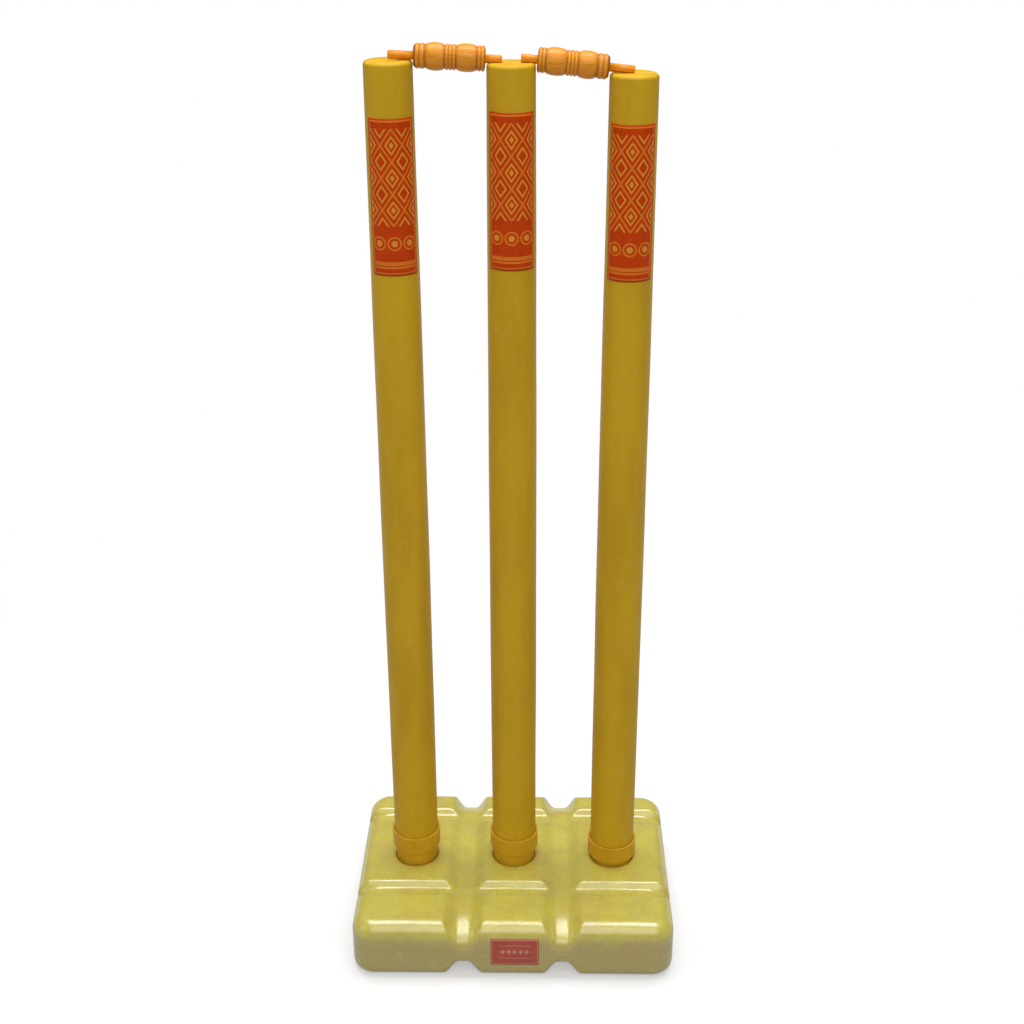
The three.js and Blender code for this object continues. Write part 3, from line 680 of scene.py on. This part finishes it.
class WICKET_OT_mould_base(bpy.types.Operator):
    """Moulds the base round its wells, fits the filler plug and fills the base with sand"""

    bl_idname = "wicket.mould_base"
    bl_label = "Mould Base"

    def execute(self, context):
        base, stump = context.scene.wicket_base, context.scene.wicket_stumps
        plastic = moulded_polyethylene(
            "blow_moulded_polyethylene_olive",
            base.plastic,
            base.plastic_deep,
            base.plastic_pale,
            streak=1.0,
            roughness=0.28,
            shine=0.85,
            low_shade_height=base.low_shade_height,
            skin=0.5,
        )
        coarse = spaced(BASE_LOW.z, BASE_HIGH.z, base.pitch)
        near = 2 * base.parting_width
        fine = np.arange(base.parting_height - near, base.parting_height + near, base.fine_pitch)
        heights = np.sort(np.concatenate([coarse[np.abs(coarse - base.parting_height) > near], fine]))
        axes = (
            spaced(BASE_LOW.x, BASE_HIGH.x, base.pitch),
            spaced(BASE_LOW.y, BASE_HIGH.y, base.pitch),
            heights,
        )
        shape = skin(lambda p: base_form(p, base, stump), axes)
        make_piece("base_moulding", shape, plastic, "base", "base_shell", "base_plastic")
        axes = [spaced(low, high, base.fine_pitch) for low, high in zip(PLUG_LOW, PLUG_HIGH)]
        shape = skin(lambda p: plug_form(p, base), axes)
        make_piece("filler_plug_moulding", shape, plastic, "plug", "filler_plug", "plug_plastic")
        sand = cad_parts["sand_ballast"]
        sand.data.materials.clear()
        sand.data.materials.append(dry_sand(base))
        return {"FINISHED"}


def tube_radius(stump, side, height):
    """Radius of a stump's tube at a height: it narrows towards the top and swells a little between."""
    low, high = TUBES[side]
    share = (height - low.z) / (high.z - low.z)
    straight = stump.foot_radius + (stump.top_radius - stump.foot_radius) * share
    return straight + stump.swell * math.sin(math.pi * share)


def tube_mesh(stump, side):
    """A stump's tube: tapered wall, rounded top with its bail groove, moulding seams and waviness."""
    low, high = TUBES[side]
    edge_start = high.z - stump.top_edge
    profile = [(0, low.z), (stump.foot_radius, low.z)]
    count = round((edge_start - low.z) / stump.step)
    for i in range(1, count):
        height = low.z + (edge_start - low.z) * i / count
        profile.append((tube_radius(stump, side, height), height))
    edge_steps = 10
    for i in range(edge_steps + 1):
        angle = i / edge_steps * math.pi / 2
        radius = stump.top_radius - stump.top_edge * (1 - math.cos(angle))
        profile.append((radius, edge_start + stump.top_edge * math.sin(angle)))
    flat = stump.top_radius - stump.top_edge
    rings = round(flat / stump.ring)
    profile += [(flat * (1 - i / rings), high.z) for i in range(1, rings)]
    profile.append((0, high.z))
    points, faces = lathe(profile, stump.sides)
    x, y, z = points.T
    turn = np.arctan2(y, x)
    radius = np.hypot(x, y)
    seam = np.zeros_like(z)
    for direction in (stump.seam_turn, stump.seam_turn + math.pi):
        away = np.angle(np.exp(1j * (turn - direction))) * radius
        seam += np.exp(-((away / stump.seam_width) ** 2)) * stump.seam_height
    # Two slow waves wind up the tube, one oval and one three-sided, and only ever sink its wall
    oval_rate, trefoil_rate, lesser = 31, -47, 0.6
    phase = STUMP_AXES[side].x * 40
    oval = np.sin(2 * turn + oval_rate * z + phase)
    waves = oval + lesser * np.sin(3 * turn + trefoil_rate * z + 2 * phase)
    on_wall = radius > 0.9 * stump.top_radius
    swell = np.where(on_wall, seam + stump.waviness * (waves - 1 - lesser) / 2, 0)
    growth = 1 + swell / np.maximum(radius, stump.top_radius / 2)
    x, y = x * growth, y * growth
    groove_turn = stump.left_turn if side == "left" else 0
    off_line = np.abs(y * math.cos(groove_turn) - x * math.sin(groove_turn))
    reach = np.minimum(off_line, stump.groove_radius)
    floor = high.z - stump.groove_depth + stump.groove_radius - np.sqrt(stump.groove_radius**2 - reach**2)
    z = np.where(off_line < stump.groove_radius, np.minimum(z, floor), z)
    centre = STUMP_AXES[side]
    return np.stack([x + centre.x, y + centre.y, z], -1), faces


def ferrule_mesh(stump, side):
    """The collar round a stump's foot and the tapered spigot below it."""
    low, high = FERRULES[side]
    collar = (high.x - low.x) / 2
    shoulder = low.z + stump.spigot_length
    bore = stump.foot_radius + stump.bore_gap
    profile = [
        (0, low.z),
        (stump.spigot_tip, low.z),
        (stump.spigot_top, shoulder),
        (collar, shoulder),
        (collar, high.z),
        (bore, high.z),
        (bore, shoulder + stump.web),
        (0, shoulder + stump.web),
    ]
    radii = (stump.chamfer, stump.rim, stump.rim, stump.rim, stump.rim / 2, 0)
    points, faces = lathe(soften(profile, radii), stump.sides)
    return points + np.array([STUMP_AXES[side].x, STUMP_AXES[side].y, 0]), faces


class WICKET_OT_mould_stumps(bpy.types.Operator):
    """Moulds the three stumps and fits a ferrule to the foot of each"""

    bl_idname = "wicket.mould_stumps"
    bl_label = "Mould Stumps"

    def execute(self, context):
        stump = context.scene.wicket_stumps
        tube_plastic = moulded_polyethylene(
            "blow_moulded_polyethylene_mustard",
            stump.plastic,
            stump.plastic_deep,
            stump.plastic_pale,
            streak=0.2,
            roughness=0.46,
            shine=0.16,
        )
        collar_plastic = moulded_polyethylene(
            "injection_moulded_polyethylene_mustard",
            stump.collar,
            stump.plastic_deep,
            stump.plastic_pale,
            streak=1.0,
            roughness=0.4,
            shine=0.18,
        )
        for side in SIDES:
            body = f"{side}_stump"
            for part, shape, plastic, slot in (
                ("tube", tube_mesh(stump, side), tube_plastic, "stump_plastic"),
                ("ferrule", ferrule_mesh(stump, side), collar_plastic, "ferrule_plastic"),
            ):
                make_piece(f"{side}_{part}_moulding", shape, plastic, body, f"{body}_{part}", slot)
        return {"FINISHED"}


def sheet_mesh(place, columns, rows):
    """A thin closed sheet; place turns shares across, up and through the film into a point."""
    points, faces, shares = [], [], []
    for layer in (0, 1):
        for j in range(rows + 1):
            for i in range(columns + 1):
                points.append(place(i / columns, j / rows, layer))
                shares.append((i / columns, j / rows))
    wide = columns + 1
    back = wide * (rows + 1)
    for j in range(rows):
        for i in range(columns):
            a = j * wide + i
            faces.append((back + a, back + a + 1, back + a + 1 + wide, back + a + wide))
            faces.append((a, a + wide, a + 1 + wide, a + 1))
    border = list(range(columns))
    border += [columns + j * wide for j in range(rows)]
    border += [rows * wide + i for i in range(columns, 0, -1)]
    border += [j * wide for j in range(rows, 0, -1)]
    for a, b in zip(border, border[1:] + border[:1]):
        faces.append((a, b, back + b, back + a))
    return points, faces, shares


def print_on(piece, shares):
    """Gives a film its print coordinates, from 0 to 1 across and up."""
    layer = piece.data.uv_layers.new(name="print")
    for loop in piece.data.loops:
        layer.data[loop.index].uv = shares[loop.vertex_index]


class WICKET_OT_print_labels(bpy.types.Operator):
    """Prints the three stump labels and the base label, and wraps them on"""

    bl_idname = "wicket.print_labels"
    bl_label = "Print Labels"

    def execute(self, context):
        inks, base = context.scene.wicket_inks, context.scene.wicket_base
        stump = context.scene.wicket_stumps
        film = stump_print(inks, self.wrap_round(stump, "middle")[1])
        for side in SIDES:
            body = f"{side}_stump"
            *shape, shares = sheet_mesh(self.wrap_round(stump, side)[0], columns=48, rows=40)
            piece = make_piece(f"{side}_label_film", shape, film, body, f"{body}_decal", "decal_paper")
            print_on(piece, shares)
        low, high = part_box("base_label")

        def flat(across, up, layer):
            """Place of a share of the base label, which follows the sunken face and its upper edge."""
            x = low.x + (high.x - low.x) * across
            z = low.z + (high.z - low.z) * up
            over = max(z - BASE_HIGH.z + base.edge, 0)
            sunk = base.sink * math.cos(math.pi * x / BASE_HIGH.x / 2)
            sunk += base.edge - math.sqrt(base.edge**2 - over**2)
            return (x, high.y + (low.y - high.y) * layer + sunk, z)

        *shape, shares = sheet_mesh(flat, columns=24, rows=16)
        film = base_print(inks, (high.x - low.x, high.z - low.z))
        piece = make_piece("base_label_film", shape, film, "base", "base_label", "label_paper")
        print_on(piece, shares)
        return {"FINISHED"}

    def wrap_round(self, stump, side):
        """How a film's shares lie on a stump's tube, and the film's width and height."""
        corners = np.array([v.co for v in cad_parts[f"{side}_stump_decal"].data.vertices])
        axis = STUMP_AXES[side]
        across, deep = corners[:, 0] - axis.x, corners[:, 1] - axis.y
        turns = np.arctan2(deep, across)
        start, end = turns.min(), turns.max()
        low, high = corners[:, 2].min(), corners[:, 2].max()
        at_foot = corners[:, 2] < low + 0.01 * MM
        lift = np.hypot(across, deep)[at_foot].max() - tube_radius(stump, side, low)
        # The back of the film lies at this share of the lift, just clear of the tube
        back = 0.3

        def place(across, up, layer):
            """Place of a share of the film."""
            height = low + (high - low) * up
            radius = tube_radius(stump, side, height) + lift * (back + (1 - back) * layer)
            turn = start + (end - start) * across
            return (axis.x + radius * math.cos(turn), axis.y + radius * math.sin(turn), height)

        width = (end - start) * tube_radius(stump, side, (low + high) / 2)
        return place, (width, high - low)


def bail_profile(bail, barrel):
    """The turned profile along a bail: long spigot, barrel of beads, bulges and rings, short spigot."""
    start, tip = -barrel / 2, bail.spigot - bail.chamfer

    def end(reach):
        """One end of the bail: a spigot that reaches this far out, and the end face of the barrel."""
        return [
            (0, start - reach),
            (tip, start - reach),
            (bail.spigot, start - reach + bail.chamfer),
            (bail.spigot, start - reach / 2),
            (bail.spigot, start),
            (bail.shoulder - bail.chamfer, start),
            (bail.shoulder, start + bail.chamfer / 3),
        ]

    forms = []
    short_steps, long_steps = 8, 20
    for spans, crest, steps in (
        (BEADS, bail.bead, short_steps),
        (BULGES, bail.bulge, long_steps),
        (RINGS, bail.ring, short_steps),
    ):
        forms += [(low_share, high_share, crest, steps) for low_share, high_share in spans]
    profile = end(bail.outer)
    for low_share, high_share, crest, steps in sorted(forms):
        for i in range(steps + 1):
            share = i / steps
            rise = math.sqrt(math.sin(math.pi * share))
            along = start + (low_share + (high_share - low_share) * share) * barrel
            profile.append((bail.groove + (crest - bail.groove) * rise, along))
    return profile + [(radius, -along) for radius, along in reversed(end(bail.inner))]


class WICKET_OT_turn_bails(bpy.types.Operator):
    """Turns the two bails and lays each one where the frame has it"""

    bl_idname = "wicket.turn_bails"
    bl_label = "Turn Bails"

    def execute(self, context):
        bail = context.scene.wicket_bails
        wood = varnished_beech(bail)
        for side, outward in (("left", -1), ("right", 1)):
            node = f"{side}_bail"
            outer_tip, inner_tip = self.tips(node, outward)
            whole = np.linalg.norm(inner_tip - outer_tip)
            along = (inner_tip - outer_tip) / whole
            barrel = whole - bail.outer - bail.inner
            origin = outer_tip + along * (bail.outer + barrel / 2)
            turn = np.array(Vector(along).to_track_quat("Z", "Y").to_matrix())
            points, faces = lathe(bail_profile(bail, barrel), bail.sides)
            shape = (points @ turn.T + origin, faces)
            piece = make_piece(f"{side}_bail_turning", shape, wood, f"bail_{side}", node, "bail_wood")
            radius = np.hypot(points[:, 0], points[:, 1])
            on_barrel = np.abs(points[:, 2]) < barrel / 2
            # Painted shade in the grooves: darker the further a point lies below the beads' crest
            clean_band, deepest_shade = 0.2 * MM, 0.8
            deep = np.clip((bail.bead - clean_band - radius) / (bail.bead - bail.groove), 0, 1)
            for name, kind, key, value in (
                ("lathe_place", "FLOAT_VECTOR", "vector", points),
                ("groove_shade", "FLOAT", "value", np.where(on_barrel, deepest_shade * deep, 0)),
            ):
                layer = piece.data.attributes.new(name, kind, "POINT")
                layer.data.foreach_set(key, value.astype(np.float32).ravel())
        return {"FINISHED"}

    def tips(self, node, outward):
        """Middles of the end faces of a bail in the frame: the outer one, then the inner one."""
        corners = np.array([v.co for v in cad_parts[node].data.vertices])
        spread = corners - corners.mean(0)
        along = np.linalg.svd(spread, full_matrices=False)[2][0]
        along *= outward * np.sign(along[0])
        reach = spread @ along
        face = 0.3 * MM
        outer = corners[reach > reach.max() - face]
        inner = corners[reach < reach.min() + face]
        return outer.mean(0), inner.mean(0)


class WICKET_OT_set_stage(bpy.types.Operator):
    """Sets the floor, the lamps and the camera"""

    bl_idname = "wicket.set_stage"
    bl_label = "Set Stage"

    def execute(self, context):
        studio = context.scene.wicket_studio
        self.lay_floor(context, studio)
        self.hang_lamps(context, studio)
        self.light_sky(context, studio)
        self.place_camera(context, studio)
        context.scene.view_settings.view_transform = "Standard"
        return {"FINISHED"}

    def lay_floor(self, context, studio):
        """A matt white floor that keeps the wicket's shadow and fades to plain white."""
        half_size, fade_start, least_white = 4.0, 0.25 * studio.clear, 0.4
        # Bounced light finds the paper greyer than the camera does, so it lifts the wicket less
        to_light, to_camera = 0.38, 0.95
        mesh = bpy.data.meshes.new("floor")
        corners = [(half_size * x, half_size * y, 0) for x, y in ((-1, -1), (1, -1), (1, 1), (-1, 1))]
        mesh.from_pydata(corners, [], [(0, 1, 2, 3)])
        material, tree = new_material("matt_white_paper")
        place = add(tree, "TexCoord", out="Object")
        away = add(tree, "VectorMath", {0: place}, "Value", operation="LENGTH")
        inputs = {"Value": away, "From Min": fade_start, "From Max": studio.clear, "To Min": least_white}
        fade = add(tree, "MapRange", inputs, interpolation_type="SMOOTHSTEP")
        rays = add(tree, "LightPath").node.outputs
        seen = rays["Is Camera Ray"]
        for other in ("Is Glossy Ray", "Is Transmission Ray"):
            seen = add(tree, "Math", {0: seen, 1: rays[other]}, operation="MAXIMUM")
        share = add(tree, "Math", {0: fade, 1: seen}, operation="MULTIPLY")
        inputs = {"Value": rays["Is Camera Ray"], "To Min": to_light, "To Max": to_camera}
        matt = add(tree, "BsdfDiffuse", {"Color": add(tree, "MapRange", inputs)})
        white = add(tree, "Emission", {"Color": WHITE, "Strength": 1.0})
        both = add(tree, "MixShader", {0: share, 1: matt, 2: white})
        add(tree, "OutputMaterial", {"Surface": both})
        mesh.materials.append(material)
        floor = bpy.data.objects.new("floor", mesh)
        context.scene.collection.objects.link(floor)

    def hang_lamps(self, context, studio):
        """Three soft lamps: a broad one in front, a weak one on the left, a strong one overhead."""
        target = Vector((0, 0, 0.35))
        lamps = (
            ("key", (0.3, -2.0, 2.5), 2.6, 2.6, studio.key),
            ("fill", (-2.1, -1.0, 1.1), 1.2, 1.2, studio.fill),
            ("top", (0.0, 0.6, 4.3), 3.4, 1.8, studio.top),
        )
        for name, place, breadth, depth, power in lamps:
            light = bpy.data.lights.new(f"{name}_lamp", "AREA")
            light.shape = "RECTANGLE"
            light.size = breadth
            light.size_y = depth
            light.energy = power
            lamp = bpy.data.objects.new(f"{name}_lamp", light)
            lamp.location = place
            lamp.rotation_euler = (target - Vector(place)).to_track_quat("-Z", "Y").to_euler()
            context.scene.collection.objects.link(lamp)

    def light_sky(self, context, studio):
        """An even pale surround that shows as plain white."""
        world = bpy.data.worlds.new("surround")
        world.use_nodes = True
        tree = world.node_tree
        tree.nodes.clear()
        rays = add(tree, "LightPath").node.outputs
        direct, through = rays["Is Camera Ray"], rays["Is Transmission Ray"]
        seen = add(tree, "Math", {0: direct, 1: through}, operation="MAXIMUM")
        strength = add(tree, "MapRange", {"Value": seen, "To Min": studio.sky, "To Max": 1.0})
        light = add(tree, "Background", {"Color": WHITE, "Strength": strength})
        add(tree, "OutputWorld", {"Surface": light})
        context.scene.world = world

    def place_camera(self, context, studio):
        """The camera at the viewing angle of the reference picture."""
        ahead = Vector(
            (
                math.sin(studio.yaw) * math.cos(studio.pitch),
                math.cos(studio.yaw) * math.cos(studio.pitch),
                -math.sin(studio.pitch),
            )
        )
        level = Vector((math.cos(studio.yaw), -math.sin(studio.yaw), 0))
        above = level.cross(ahead)
        right = level * math.cos(studio.roll) + above * math.sin(studio.roll)
        upward = above * math.cos(studio.roll) - level * math.sin(studio.roll)
        data = bpy.data.cameras.new("camera")
        data.lens = studio.lens
        data.sensor_width = 36.0
        camera = bpy.data.objects.new("camera", data)
        context.scene.collection.objects.link(camera)
        axes = Matrix((right, upward, -ahead)).transposed().to_4x4()
        camera.matrix_world = Matrix.Translation(Vector(studio.camera)) @ axes
        context.scene.camera = camera


class WICKET_PT_panel(bpy.types.Panel):
    """Lists the steps and the sizes of the wicket"""

    bl_label = "Cricket Stumps"
    bl_idname = "WICKET_PT_panel"
    bl_space_type = "VIEW_3D"
    bl_region_type = "UI"
    bl_category = "Wicket"

    def draw(self, context):
        for operator in OPERATORS:
            self.layout.operator(operator.bl_idname)
        for name, group in GROUPS.items():
            box = self.layout.box()
            box.label(text=group.__doc__)
            for key in group.__annotations__:
                box.prop(getattr(context.scene, name), key)


GROUPS = {
    "wicket_base": BaseMould,
    "wicket_stumps": StumpMould,
    "wicket_bails": BailTurning,
    "wicket_inks": PrintInks,
    "wicket_studio": Studio,
}
OPERATORS = (
    WICKET_OT_set_stage,
    WICKET_OT_mould_base,
    WICKET_OT_mould_stumps,
    WICKET_OT_print_labels,
    WICKET_OT_turn_bails,
)


def register():
    """Registers the classes and gives the scene its groups of sizes."""
    for entry in (*GROUPS.values(), *OPERATORS, WICKET_PT_panel):
        bpy.utils.register_class(entry)
    for name, group in GROUPS.items():
        setattr(bpy.types.Scene, name, PointerProperty(type=group))


def unregister():
    """Takes the groups and the classes away again."""
    for name in GROUPS:
        delattr(bpy.types.Scene, name)
    for entry in reversed((*GROUPS.values(), *OPERATORS, WICKET_PT_panel)):
        bpy.utils.unregister_class(entry)


def main():
    """Builds the whole wicket: stage, base, stumps, labels and bails."""
    register()
    bpy.ops.wicket.set_stage()
    bpy.ops.wicket.mould_base()
    bpy.ops.wicket.mould_stumps()
    bpy.ops.wicket.print_labels()
    bpy.ops.wicket.turn_bails()


if __name__ == "__main__":
    main()
